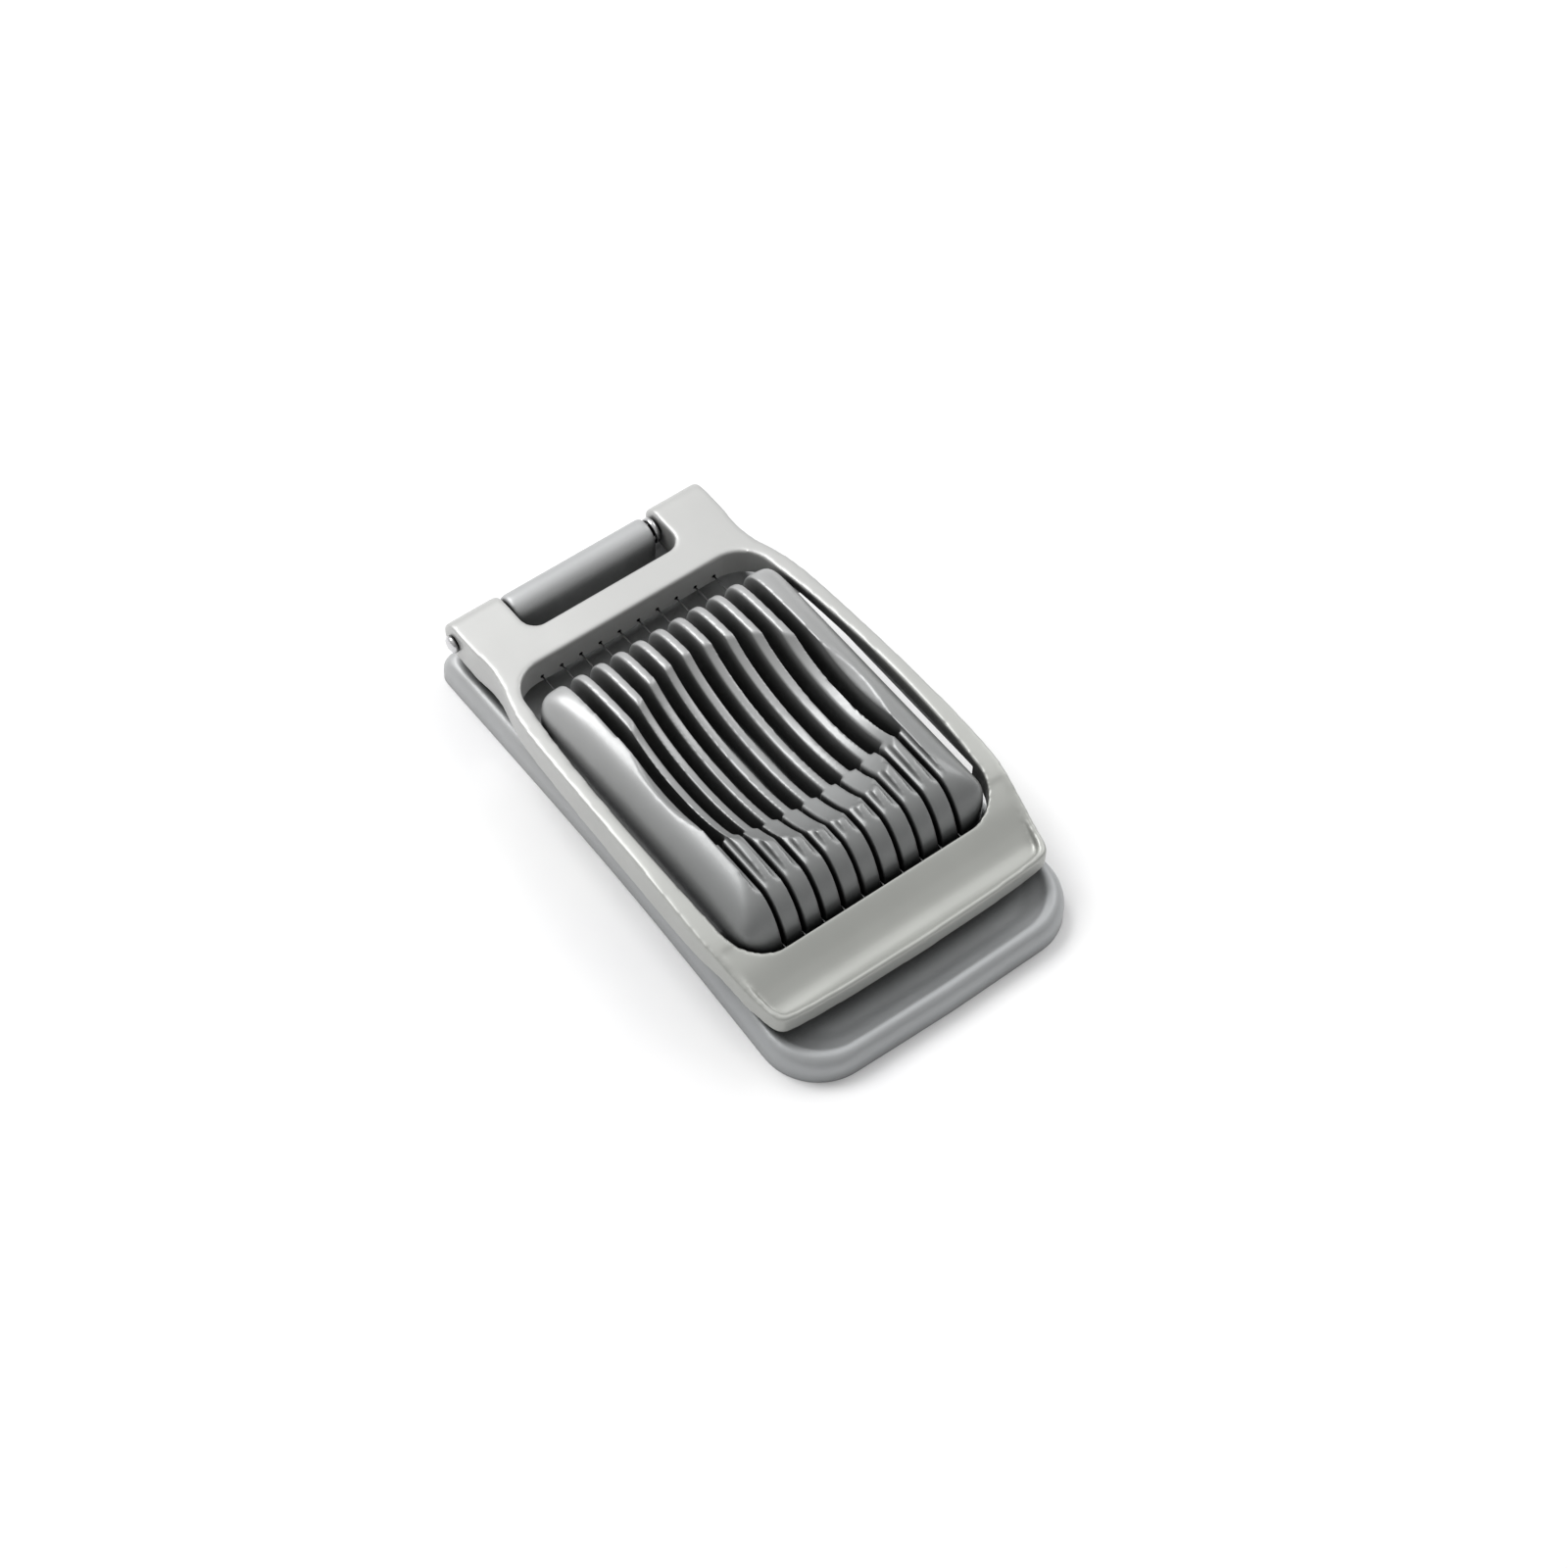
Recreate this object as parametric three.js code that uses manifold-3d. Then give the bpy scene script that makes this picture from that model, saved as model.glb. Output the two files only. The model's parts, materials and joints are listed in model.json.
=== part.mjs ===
// Cast-aluminium egg slicer: a base with a ribbed egg cradle, and a hinged frame strung with ten
// wires. Millimetres, +Z up, +Y towards the hinge. The origin is the centre of the footprint, at
// the surface that the base stands on. The frame is closed: its wires lie deep in the slots.
import * as THREE from 'three';
import { mergeVertices } from 'three/addons/utils/BufferGeometryUtils.js';
import Module from 'manifold-3d';

const wasm = await Module();
wasm.setup();

// Driving dimensions.
const GAP = 0.3;              // between neighbouring pieces
const LENGTH = 132;           // of the base, along Y
const PLATE_HEIGHT = 6.4;
const EDGE_DEPTH = 2.4;       // rounding of the plate's upper edge, inwards and downwards
const EDGE_DROP = 3.4;
const RIM_WIDTH = 3.2;        // from the plate's outer edge to the tray inside its rim
const TRAY_FLOOR = 4.5;       // height of the plate inside its rim
const RECESS_HEIGHT = 1.8;    // hollow under the plate
const RECESS_INSET = 7;
const BASE_HALF_FRONT = 36.8;
const BASE_HALF_MIDDLE = 34.9;
const BASE_HALF_REAR = 34.8;
const FRONT_BOW = 0.6;        // the front edge bows forward by this much

const HINGE_Y = 61.5;
const HINGE_Z = 13.9;
const EAR_RADIUS = 4.3;
const BARREL_RADIUS = 3.7;
const BARREL_LEFT = -19.1;
const BARREL_RIGHT = 17.4;
const NOTCH_HALF = 19.7;      // half the gap between the ears
const NOTCH_FRONT = 52;
const NOTCH_CORNER = 3.5;
const PIN_RADIUS = 1.3;
const PIN_HALF = 33.1;
const PIN_HEAD_RADIUS = 2;
const PIN_HEAD_THICK = 1.3;
const WASHER_THICK = 1.2;
const WASHER_RADIUS = 3;

const WIRE_COUNT = 10;
const WIRE_PITCH = 5;
const WIRE_RADIUS = 0.2;
const WIRE_Z = 12.6;
const WIRE_FRONT = -45;
const WIRE_REAR = 49;
const FERRULE_RADIUS = 0.9;
const FERRULE_LENGTH = 1.5;
const SEAT_LENGTH = 2.6;      // groove under a bar, for its ferrules
const FRONT_WALL = 1.6;       // metal between the opening and the front groove
const REAR_WALL = 2.4;

const WINDOW_FRONT = -41.5;   // opening of the cutting frame
const WINDOW_REAR = 44.2;
const WINDOW_HALF_FRONT = 33.4;
const WINDOW_HALF_REAR = 31.5;
const FRAME_FLOOR = 5;        // below and above everything in the frame
const FRAME_CEILING = 30;
const FRAME_REACH = 45;       // further out than either side of the frame
const RAIL_REACH = 30;        // the hollow under a rail runs this far each way
const EAR_HALF = 32.8;

const CRADLE_HALF = 32.3;
const CRADLE_FRONT = -40.3;
const CRADLE_REAR = 36.3;
const CRADLE_FLOOR = TRAY_FLOOR + GAP;
const CRADLE_CORNER = 8;
const CREST_Z = 25.8;
const HOLLOW_MIDDLE = [0, -2, 31.8];
const HOLLOW_RADII = [29.8, 29.5, 14.8];
const SLOT_WIDTH = 3;
const SLOT_FLOOR = 11;
const SLOT_FRONT = -18;       // in front of this a slot is a shallow channel with a fine slit
const CHANNEL_FLOOR = 24;
const SLIT_WIDTH = 2 * (WIRE_RADIUS + GAP);
const CORE_TOP = 8;           // hollow under the cradle
const CORE_WALL = 4;

const SCREW_YS = { front: -27, rear: 23 };
const SCREW_RADIUS = 1.2;
const SCREW_BOTTOM = 0.2;
const SCREW_TOP = 9;
const SCREW_HEAD_RADIUS = 2.6;
const BOSS_RADIUS = 4;

const CAST = { color: 0xb9bab8, roughness: 0.32, metalness: 0.9 };
const PLATE = { color: 0xa4a7aa, roughness: 0.34, metalness: 0.9 };
const STEEL = { color: 0xc9cbcd, roughness: 0.2, metalness: 1 };

// A closed three.js geometry as a solid that can be joined and cut.
function solid(geometry) {
  geometry.deleteAttribute('normal');
  geometry.deleteAttribute('uv');
  const merged = mergeVertices(geometry, 1e-4);
  return new wasm.Manifold(new wasm.Mesh({
    numProp: 3,
    vertProperties: Float32Array.from(merged.attributes.position.array),
    triVerts: Uint32Array.from(merged.index.array),
  }));
}

function geometryOf(body) {
  const mesh = body.getMesh();
  const geometry = new THREE.BufferGeometry();
  geometry.setAttribute('position', new THREE.BufferAttribute(mesh.vertProperties, 3));
  geometry.setIndex(new THREE.BufferAttribute(mesh.triVerts, 1));
  geometry.computeVertexNormals();
  return geometry;
}

// Extrusions: a plan (X, Y) upwards, a side view (Y, Z) across, a front view (X, Z) backwards.
function extrude(shape, depth) {
  return new THREE.ExtrudeGeometry(shape, { depth, bevelEnabled: false, curveSegments: 4 });
}

function upwards(shape, low, high) {
  return solid(extrude(shape, high - low).translate(0, 0, low));
}

function across(shape, left, right) {
  const geometry = extrude(shape, right - left);
  geometry.applyMatrix4(new THREE.Matrix4().makeBasis(
    new THREE.Vector3(0, 1, 0), new THREE.Vector3(0, 0, 1), new THREE.Vector3(1, 0, 0)));
  return solid(geometry.translate(left, 0, 0));
}

function backwards(shape, front, rear) {
  const geometry = extrude(shape, rear - front);
  geometry.applyMatrix4(new THREE.Matrix4().makeBasis(
    new THREE.Vector3(1, 0, 0), new THREE.Vector3(0, 0, 1), new THREE.Vector3(0, -1, 0)));
  return solid(geometry.translate(0, rear, 0));
}

function box([x0, y0, z0], [x1, y1, z1]) {
  const geometry = new THREE.BoxGeometry(x1 - x0, y1 - y0, z1 - z0);
  return solid(geometry.translate((x0 + x1) / 2, (y0 + y1) / 2, (z0 + z1) / 2));
}

function rodAcross(radius, left, right, sides = 24) {
  const geometry = new THREE.CylinderGeometry(radius, radius, right - left, sides);
  geometry.rotateZ(-Math.PI / 2);
  return solid(geometry.translate((left + right) / 2, HINGE_Y, HINGE_Z));
}

function rodUp(radius, y, low, high, sides = 20) {
  const geometry = new THREE.CylinderGeometry(radius, radius, high - low, sides);
  geometry.rotateX(Math.PI / 2);
  return solid(geometry.translate(0, y, (low + high) / 2));
}

function rodBackwards(radius, x, front, rear, sides = 8) {
  const geometry = new THREE.CylinderGeometry(radius, radius, rear - front, sides);
  return geometry.translate(x, (front + rear) / 2, WIRE_Z);
}

// A shape that is the same left and right, from its right half, drawn from the front to the rear.
function symmetric(rightHalf, divisions) {
  const right = rightHalf.getPoints(divisions);
  const left = right.filter((point) => point.x > 1e-6);
  left.reverse();
  return new THREE.Shape([...right, ...left.map((point) => new THREE.Vector2(-point.x, point.y))]);
}

function points(list) {
  return list.map(([x, y]) => new THREE.Vector2(x, y));
}

// Plan of the base, moved inwards by inset: it widens towards the front, whose corners are large.
function basePlan(inset = 0) {
  const front = -LENGTH / 2 + inset;
  const rear = LENGTH / 2 - inset;
  const half = BASE_HALF_FRONT - inset;
  const corner = 13 - inset / 2;
  const rearHalf = BASE_HALF_REAR - inset;
  const rearCorner = 3;
  const path = new THREE.Path();
  path.moveTo(0, front);
  path.quadraticCurveTo(half / 3, front, half - corner, front + FRONT_BOW);
  path.absellipse(half - corner, front + FRONT_BOW + corner, corner, corner, -Math.PI / 2, 0);
  path.splineThru(points([[BASE_HALF_MIDDLE - inset, 0], [rearHalf, rear - rearCorner]]));
  path.absellipse(rearHalf - rearCorner, rear - rearCorner, rearCorner, rearCorner, 0, Math.PI / 2);
  path.lineTo(0, rear);
  return symmetric(path, 5);
}

function basePlate() {
  const edged = new THREE.ExtrudeGeometry(basePlan(), {
    depth: PLATE_HEIGHT,
    bevelThickness: EDGE_DROP,
    bevelSize: EDGE_DEPTH,
    bevelOffset: -EDGE_DEPTH,
    bevelSegments: 4,
  });
  const plate = solid(edged.translate(0, 0, -EDGE_DROP)).subtract(box([-50, -80, -10], [50, 80, 0]));
  const pedestal = box(
    [BARREL_LEFT, HINGE_Y - BARREL_RADIUS, TRAY_FLOOR - 1],
    [BARREL_RIGHT, HINGE_Y + BARREL_RADIUS, HINGE_Z]);
  let body = plate
    .subtract(upwards(basePlan(RIM_WIDTH), TRAY_FLOOR, PLATE_HEIGHT + 1))
    .subtract(upwards(basePlan(RECESS_INSET), -1, RECESS_HEIGHT))
    .add(pedestal)
    .add(rodAcross(BARREL_RADIUS, BARREL_LEFT, BARREL_RIGHT, 32))
    .subtract(rodAcross(PIN_RADIUS + GAP, BARREL_LEFT - 1, BARREL_RIGHT + 1));
  for (const y of Object.values(SCREW_YS)) {
    body = body.subtract(rodUp(SCREW_RADIUS + GAP, y, 0, TRAY_FLOOR + 1));
  }
  return body;
}

// The cradle's outside: its side view, front view and plan, taken together.
function cradleBlock() {
  const side = new THREE.Shape();
  side.moveTo(CRADLE_REAR, CRADLE_FLOOR);
  side.lineTo(CRADLE_REAR, 16.5);
  side.splineThru(points([[34.9, 20.8], [31, 23.6], [20, 24.8]]));
  side.lineTo(-20, CREST_Z);
  side.splineThru(points([[-27, 25.5], [-32, 24.3], [-35.6, 22.1], [-38, 18.6], [-40, 14]]));
  side.lineTo(CRADLE_FRONT, CRADLE_FLOOR);

  const shoulder = 20;        // the top rolls off from here to the side wall
  const wallTop = 14;
  const half = new THREE.Path();
  half.moveTo(0, CRADLE_FLOOR);
  half.lineTo(CRADLE_HALF, CRADLE_FLOOR);
  half.absellipse(shoulder, wallTop, CRADLE_HALF - shoulder, CREST_Z - wallTop + 0.3, 0, Math.PI / 2);
  half.lineTo(0, CREST_Z + 0.3);

  return across(side, -CRADLE_HALF - 1, CRADLE_HALF + 1)
    .intersect(backwards(symmetric(half, 6), CRADLE_FRONT - 1, CRADLE_REAR + 1))
    .intersect(upwards(cradlePlan(0), CRADLE_FLOOR - 1, CREST_Z + 1));
}

function cradlePlan(inset) {
  const half = CRADLE_HALF - inset;
  const front = CRADLE_FRONT + inset;
  const rear = CRADLE_REAR - inset;
  const r = CRADLE_CORNER - inset / 2;
  const path = new THREE.Path();
  path.moveTo(0, front);
  path.absellipse(half - r, front + r, r, r, -Math.PI / 2, 0);
  path.absellipse(half - r, rear - r, r, r, 0, Math.PI / 2);
  path.lineTo(0, rear);
  return symmetric(path, 5);
}

// The round hollow that the egg lies in.
function eggHollow() {
  const geometry = new THREE.SphereGeometry(1, 36, 18);
  geometry.rotateX(Math.PI / 2);
  geometry.scale(...HOLLOW_RADII);
  return solid(geometry.translate(...HOLLOW_MIDDLE));
}

function wireX(index) {
  return (index - (WIRE_COUNT - 1) / 2) * WIRE_PITCH;
}

// The rim stands beside the cradle's foot, which is narrower than the rest.
function besideFoot() {
  const edge = 50;
  const top = PLATE_HEIGHT + GAP;
  return box([-edge, -edge, 0], [edge, edge, top])
    .subtract(upwards(basePlan(RIM_WIDTH + GAP), -1, top + 1));
}

// One slot: open over the egg hollow and at the rear, a channel and a slit at the front.
function wireSlot(x) {
  const front = CRADLE_FRONT - 1;
  const rear = CRADLE_REAR + 1;
  const top = CREST_Z + 2;
  const half = SLOT_WIDTH / 2;
  const slit = SLIT_WIDTH / 2;
  return box([x - half, SLOT_FRONT, SLOT_FLOOR], [x + half, rear, top])
    .add(box([x - half, front, CHANNEL_FLOOR], [x + half, SLOT_FRONT + 1, top]))
    .add(box([x - slit, front, SLOT_FLOOR], [x + slit, SLOT_FRONT + 1, top]));
}

function eggCradle() {
  let core = upwards(cradlePlan(CORE_WALL), CRADLE_FLOOR - 1, CORE_TOP);
  for (const y of Object.values(SCREW_YS)) {
    core = core
      .subtract(rodUp(BOSS_RADIUS, y, CRADLE_FLOOR - 2, CORE_TOP + 1))
      .add(rodUp(SCREW_RADIUS + GAP, y, CRADLE_FLOOR - 1, SCREW_TOP + GAP));
  }
  let body = cradleBlock().subtract(eggHollow()).subtract(core).subtract(besideFoot());
  for (let index = 0; index < WIRE_COUNT; index += 1) {
    body = body.subtract(wireSlot(wireX(index)));
  }
  return body;
}

// The pin, with a low head on the left ear.
function hingePin() {
  const left = -PIN_HALF - PIN_HEAD_THICK;
  return rodAcross(PIN_RADIUS, -PIN_HALF - 0.5, PIN_HALF)
    .add(rodAcross(PIN_HEAD_RADIUS, left, -PIN_HALF));
}

function cradleScrew(y) {
  return rodUp(SCREW_HEAD_RADIUS, y, SCREW_BOTTOM, RECESS_HEIGHT - GAP)
    .add(rodUp(SCREW_RADIUS, y, SCREW_BOTTOM + 0.3, SCREW_TOP));
}

// Plan of the cutting frame's outside: widest beside the cradle, drawn in to the ears.
function framePlan() {
  const rear = HINGE_Y + EAR_RADIUS + 1;
  const path = new THREE.Path();
  path.moveTo(0, -55.7);
  path.quadraticCurveTo(18, -55.6, 31.4, -54.6);
  path.quadraticCurveTo(34.6, -54.2, 35.2, -51.6);
  path.splineThru(points([[36.7, -42.5], [38, -31], [37.9, -18], [37.3, 5], [36.4, 27], [35.2, 36.5],
    [33.2, 43.5], [32.4, 49], [32.7, 55]]));
  path.lineTo(EAR_HALF, rear);
  path.lineTo(0, rear);
  return symmetric(path, 2);
}

function windowPlan() {
  const frontCorner = 10;
  const rearCorner = 8;
  const path = new THREE.Path();
  path.moveTo(0, WINDOW_FRONT);
  path.absellipse(
    WINDOW_HALF_FRONT - frontCorner, WINDOW_FRONT + frontCorner, frontCorner, frontCorner, -Math.PI / 2, 0);
  path.splineThru(points([[34, -18], [34, 2], [33, 22], [WINDOW_HALF_REAR, WINDOW_REAR - rearCorner]]));
  path.absellipse(
    WINDOW_HALF_REAR - rearCorner, WINDOW_REAR - rearCorner, rearCorner, rearCorner, 0, Math.PI / 2);
  path.lineTo(0, WINDOW_REAR);
  return symmetric(path, 3);
}

// Side view of the frame: round ears, an arched top, a trough and an upturned lip at the front.
function frameSide() {
  const side = new THREE.Shape();
  side.moveTo(HINGE_Y, HINGE_Z - EAR_RADIUS);
  side.absarc(HINGE_Y, HINGE_Z, EAR_RADIUS, -Math.PI / 2, Math.PI / 2);
  side.lineTo(WINDOW_REAR, 18.4);
  side.splineThru(points([[20, 19.8], [-10, 20.6], [-32, 19.2], [WINDOW_FRONT, 16.2], [-47, 12.9],
    [-50.4, 11.9], [-53.2, 12.6], [-55, 13.7]]));
  side.lineTo(-56, 13.4);
  side.lineTo(-56, 9);
  side.lineTo(-46, 9.2);
  side.lineTo(-38, 12);
  side.lineTo(38, 12.2);
  side.lineTo(NOTCH_FRONT - 4, 9.6);
  side.lineTo(NOTCH_FRONT, 8.8);
  return side;
}

function notch() {
  const rear = HINGE_Y + EAR_RADIUS + 2;
  const path = new THREE.Path();
  path.moveTo(0, NOTCH_FRONT);
  path.absellipse(
    NOTCH_HALF - NOTCH_CORNER, NOTCH_FRONT + NOTCH_CORNER, NOTCH_CORNER, NOTCH_CORNER, -Math.PI / 2, 0);
  path.lineTo(NOTCH_HALF, rear);
  path.lineTo(0, rear);
  return upwards(symmetric(path, 4), 0, FRAME_CEILING);
}

// The rails are hollow below: their inner wall is short, their outer wall reaches further down.
function railHollow() {
  const path = new THREE.Path();
  path.moveTo(0, FRAME_FLOOR);
  path.lineTo(36.1, FRAME_FLOOR);
  path.lineTo(35.9, 12.5);
  path.lineTo(34.6, 16.8);
  path.lineTo(0, 17);
  return backwards(symmetric(path, 1), -RAIL_REACH, RAIL_REACH);
}

// Grooves under the two bars, for the ferrules, and a fine hole for each wire.
function wireSeats() {
  const half = wireX(WIRE_COUNT - 1) + 2;
  const roof = WIRE_Z + FERRULE_RADIUS + GAP / 2;
  const frontWall = WINDOW_FRONT - FRONT_WALL;
  const rearWall = WINDOW_REAR + REAR_WALL;
  let seats = box([-half, frontWall - SEAT_LENGTH, FRAME_FLOOR], [half, frontWall, roof])
    .add(box([-half, rearWall, FRAME_FLOOR], [half, rearWall + SEAT_LENGTH, roof + 1]));
  for (let index = 0; index < WIRE_COUNT; index += 1) {
    seats = seats
      .add(solid(rodBackwards(WIRE_RADIUS + GAP, wireX(index), frontWall - 1, WINDOW_FRONT + 1)))
      .add(solid(rodBackwards(WIRE_RADIUS + GAP, wireX(index), WINDOW_REAR - 1, rearWall + 1)));
  }
  return seats;
}

function cuttingFrame() {
  return upwards(framePlan(), FRAME_FLOOR, FRAME_CEILING)
    .intersect(across(frameSide(), -FRAME_REACH, FRAME_REACH))
    .subtract(upwards(windowPlan(), 0, FRAME_CEILING))
    .subtract(railHollow())
    .subtract(notch())
    .subtract(wireSeats())
    .subtract(rodAcross(PIN_RADIUS + GAP, -FRAME_REACH, FRAME_REACH));
}

function ferrule(x, middle) {
  const inner = WIRE_RADIUS + GAP;
  const half = FERRULE_LENGTH / 2;
  const ring = points([[inner, -half], [FERRULE_RADIUS, -half], [FERRULE_RADIUS, half], [inner, half],
    [inner, -half]]);
  return new THREE.LatheGeometry(ring, 10).translate(x, middle, WIRE_Z);
}

function part(name, geometry, look) {
  const mesh = new THREE.Mesh(geometry, new THREE.MeshStandardMaterial(look));
  mesh.name = name;
  return mesh;
}

const washerLeft = BARREL_RIGHT + (NOTCH_HALF - BARREL_RIGHT - WASHER_THICK) / 2;
const washer = rodAcross(WASHER_RADIUS, washerLeft, washerLeft + WASHER_THICK)
  .subtract(rodAcross(PIN_RADIUS + GAP, BARREL_RIGHT, NOTCH_HALF));

const base = new THREE.Group();
base.add(
  part('base_plate', geometryOf(basePlate()), PLATE),
  part('egg_cradle', geometryOf(eggCradle()), CAST));
for (const [place, y] of Object.entries(SCREW_YS)) {
  base.add(part(`cradle_screw_${place}`, geometryOf(cradleScrew(y)), STEEL));
}

const head = new THREE.Group();
head.add(
  part('cutting_frame', geometryOf(cuttingFrame()), CAST),
  part('hinge_pin', geometryOf(hingePin()), STEEL),
  part('hinge_washer', geometryOf(washer), STEEL));
for (let index = 0; index < WIRE_COUNT; index += 1) {
  const x = wireX(index);
  const label = String(index + 1).padStart(2, '0');
  head.add(
    part(`cutting_wire_${label}`, rodBackwards(WIRE_RADIUS, x, WIRE_FRONT, WIRE_REAR), STEEL),
    part(`front_ferrule_${label}`, ferrule(x, WINDOW_FRONT - FRONT_WALL - SEAT_LENGTH / 2), STEEL),
    part(`rear_ferrule_${label}`, ferrule(x, WINDOW_REAR + REAR_WALL + SEAT_LENGTH / 2), STEEL));
}

const slicer = new THREE.Group();
slicer.add(base, head);
export default slicer;
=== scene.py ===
"""Looks of a cast-aluminium egg slicer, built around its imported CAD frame.

Metres, +Z up, +Y towards the hinge. The shapes are drawn in millimetres and scaled by MM.
"""

import json
import math

import bmesh
import bpy
from mathutils import Matrix, Vector


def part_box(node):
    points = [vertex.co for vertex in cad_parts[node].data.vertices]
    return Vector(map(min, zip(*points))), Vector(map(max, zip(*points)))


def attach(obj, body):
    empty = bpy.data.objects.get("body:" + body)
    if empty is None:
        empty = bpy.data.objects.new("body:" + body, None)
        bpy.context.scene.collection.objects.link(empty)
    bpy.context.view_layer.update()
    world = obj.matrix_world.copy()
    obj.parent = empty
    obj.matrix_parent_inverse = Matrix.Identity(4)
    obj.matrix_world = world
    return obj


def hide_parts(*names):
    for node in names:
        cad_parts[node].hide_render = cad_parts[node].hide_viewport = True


MM = 0.001
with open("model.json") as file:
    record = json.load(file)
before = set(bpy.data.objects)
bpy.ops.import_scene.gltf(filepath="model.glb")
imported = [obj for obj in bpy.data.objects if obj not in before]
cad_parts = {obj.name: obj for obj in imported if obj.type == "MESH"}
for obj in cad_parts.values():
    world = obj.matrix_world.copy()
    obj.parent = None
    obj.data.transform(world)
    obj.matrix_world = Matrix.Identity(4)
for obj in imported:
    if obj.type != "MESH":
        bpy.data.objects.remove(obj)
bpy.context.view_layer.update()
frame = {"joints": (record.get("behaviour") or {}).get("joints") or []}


def mm_box(node):
    """A CAD node's lowest and highest corners, in millimetres."""
    low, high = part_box(node)
    return low / MM, high / MM


# Places that come from the frame.
HINGE = Vector(frame["joints"][0]["pos_m"]) / MM
BASE_LOW, BASE_HIGH = mm_box("base_plate")
CRADLE_LOW, CRADLE_HIGH = mm_box("egg_cradle")
PIN_LOW, PIN_HIGH = mm_box("hinge_pin")
WASHER_LOW, WASHER_HIGH = mm_box("hinge_washer")
NUMBERS = [f"{k:02d}" for k in range(1, 11)]
WIRE_XS = [sum(v.x for v in mm_box(f"cutting_wire_{k}")) / 2 for k in NUMBERS]
WIRE_Z = sum(v.z for v in mm_box("cutting_wire_01")) / 2

GAP = 0.3                       # left between pieces that touch
SKIRT = 5                       # extra height below a casting while its edges are rounded
LAYERS = 10                     # steps that a rolled edge or a fillet is built up from
CURVE_STEPS = 10                # points between two points that a curve passes through
SHARP_ANGLE = math.radians(40)  # edges sharper than this stay sharp in the shading

# Base plate with its barrel.
PLATE_HEIGHT = 6.4
BASE_HALF_FRONT = 36.8
BASE_HALF_MIDDLE = 34.9
BASE_HALF_REAR = 34.8
BASE_FRONT_CORNER = 13
BASE_REAR_CORNER = 3
FRONT_BOW = 0.4                 # how far the middle of the front edge stands out
ROLL_WIDTH = 2.6
ROLL_HEIGHT = 3.6
TRAY_FLOOR = 4.5
RIM_WIDTH = 3.2
RIM_FILLET = 3.5                # the tray rises to its rim over this width
RECESS_HEIGHT = 1.8
RECESS_INSET = 7
BARREL_RADIUS = 3.7
BARREL_ENDS = (-19.1, 17.4)
BORE_RADIUS = 1.6
SCREW_HOLE_RADIUS = 1.5
SCREW_YS = (-27, 23)

# Cradle.
CREST_Z = CRADLE_HIGH.z
CRADLE_CORNER = 8
CRADLE_SHOULDER = 20            # the crest starts to fall this far from the middle
CRADLE_WALL_TOP = 14            # the side walls are upright below this height
HOLLOW_MIDDLE = (0, -2, 31.8)
HOLLOW_RADII = (29.8, 29.5, 14.8)
SLOT_WIDTH = 3
SLOT_FLOOR = 11
SLOT_FRONT = -18                # in front of here a slot is a channel with a slit in its floor
CHANNEL_FLOOR = 24
SLIT_WIDTH = 1
CORE_WALL = 4
CORE_TOP = 8
BOSS_RADIUS = 4
BOSS_HOLE_TOP = 9.3

# Cutting frame.
FRAME_FLOOR = 5                 # the frame is cut from a block between these heights
FRAME_CEILING = 25
THROUGH = (0, 30)               # heights that go right through the frame
ACROSS = 45                     # half the length of a cut from side to side
PAST_REAR = 70
EAR_RADIUS = 4.3
EAR_HALF = 32.8
NOTCH_HALF = 19.7
NOTCH_FRONT = 52
NOTCH_CORNER = 3.5
TROUGH_WALL = 1.3               # thickness of the lip round the front bar
WINDOW_FRONT = -41.5
WINDOW_REAR = 44.2
WINDOW_HALF_FRONT = 33.4
WINDOW_HALF_REAR = 31.5
WINDOW_FRONT_CORNER = 10
WINDOW_REAR_CORNER = 8
RAIL_REACH = 30                 # the rails are hollow this far from the middle
FRONT_WALL = 1.6                # between the window and the ferrules of each bar
REAR_WALL = 2.4
SEAT_LENGTH = 2.3
SEAT_ROOF = 13.65
WIRE_HOLE_RADIUS = 0.5


# ---- outlines -------------------------------------------------------------------------------

def arc(cx, cy, rx, ry, start, end, steps=12):
    """Points on an ellipse, angles in degrees."""
    turns = [math.radians(start + (end - start) * k / steps) for k in range(steps + 1)]
    return [(cx + rx * math.cos(t), cy + ry * math.sin(t)) for t in turns]


def curve(points):
    """A smooth curve through points (Catmull-Rom)."""
    padded = [points[0], *points, points[-1]]
    out = []
    for k in range(1, len(padded) - 2):
        a, b, c, d = (Vector(p) for p in padded[k - 1:k + 3])
        into, away = (c - a) / 2, (d - b) / 2
        for s in range(CURVE_STEPS):
            t = s / CURVE_STEPS
            out.append(tuple(
                (2 * t**3 - 3 * t**2 + 1) * b + (t**3 - 2 * t**2 + t) * into
                + (3 * t**2 - 2 * t**3) * c + (t**3 - t**2) * away))
    return [*out, points[-1]]


def mirrored(right):
    """A closed outline from its right half, drawn from the front (or bottom) middle."""
    same = 1e-4
    outline = [right[0]]
    for point in right[1:]:
        if math.dist(point, outline[-1]) > same:
            outline.append(point)
    left = [(-x, y) for x, y in reversed(outline) if x > same]
    return outline + left


def base_plan(inset=0):
    """The base from above: large front corners, and sides that draw in towards the rear."""
    front, rear = BASE_LOW.y + inset, BASE_HIGH.y - inset
    half, rear_half = BASE_HALF_FRONT - inset, BASE_HALF_REAR - inset
    corner, rear_corner = BASE_FRONT_CORNER - inset / 2, BASE_REAR_CORNER
    side_front, side_rear = front + FRONT_BOW + corner, rear - rear_corner
    return mirrored([
        (0, front),
        *arc(half - corner, side_front, corner, corner, -90, 0),
        *curve([(half, side_front), (BASE_HALF_MIDDLE - inset, 0), (rear_half, side_rear)]),
        *arc(rear_half - rear_corner, side_rear, rear_corner, rear_corner, 0, 90),
        (0, rear)])


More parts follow.
